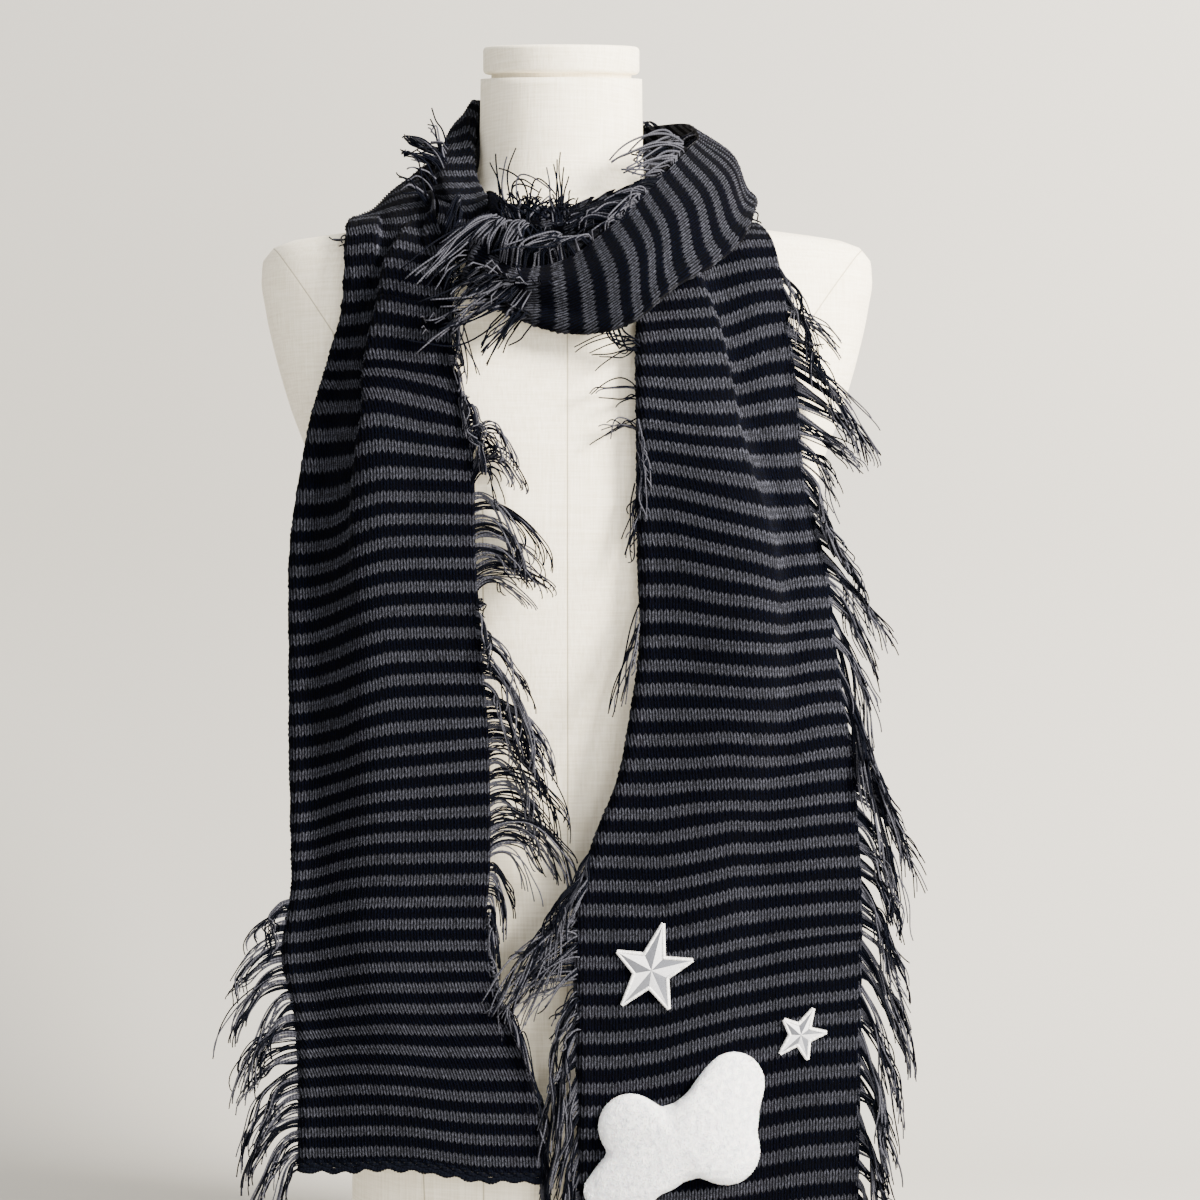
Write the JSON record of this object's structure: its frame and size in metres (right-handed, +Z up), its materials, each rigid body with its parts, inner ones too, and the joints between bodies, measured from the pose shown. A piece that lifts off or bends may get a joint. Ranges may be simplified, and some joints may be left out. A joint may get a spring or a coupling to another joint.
{
  "type": "knit scarf on dress form",
  "caption": "Long striped knit scarf with cut yarn fringe wound round the neck of a limbless dress form, both ends hanging in front; it shows how a scarf is worn.",
  "frame": {"origin": "centre of the dress form's flat base", "axes": "+Z up along the form, -Y to the front where the scarf's ends hang, +X to the side of the end with the patches"},
  "size_m": [0.4676, 0.2645, 0.8646],
  "materials": {
    "linen_cover": "plain woven off-white linen",
    "striped_knit": "grey and black striped stocking-stitch knit",
    "cut_yarn": "matte cut yarn ends",
    "satin_stitch": "silvery satin stitch",
    "white_plush": "short white plush pile"
  },
  "bodies": {
    "root": {"form_torso": "linen_cover", "form_neck_cap": "linen_cover", "scarf_right_panel": "striped_knit", "scarf_inner_turn": "striped_knit", "scarf_front_loop": "striped_knit", "scarf_outer_turn": "striped_knit", "scarf_left_panel": "striped_knit", "star_large": "satin_stitch", "star_small": "satin_stitch", "bone_patch": "white_plush", "fringe_left_inner": "cut_yarn", "fringe_left_outer": "cut_yarn", "fringe_right_outer": "cut_yarn", "fringe_right_inner": "cut_yarn", "fringe_ridge": "cut_yarn", "fringe_collar": "cut_yarn", "fringe_back": "cut_yarn"}
  },
  "joints": []
}
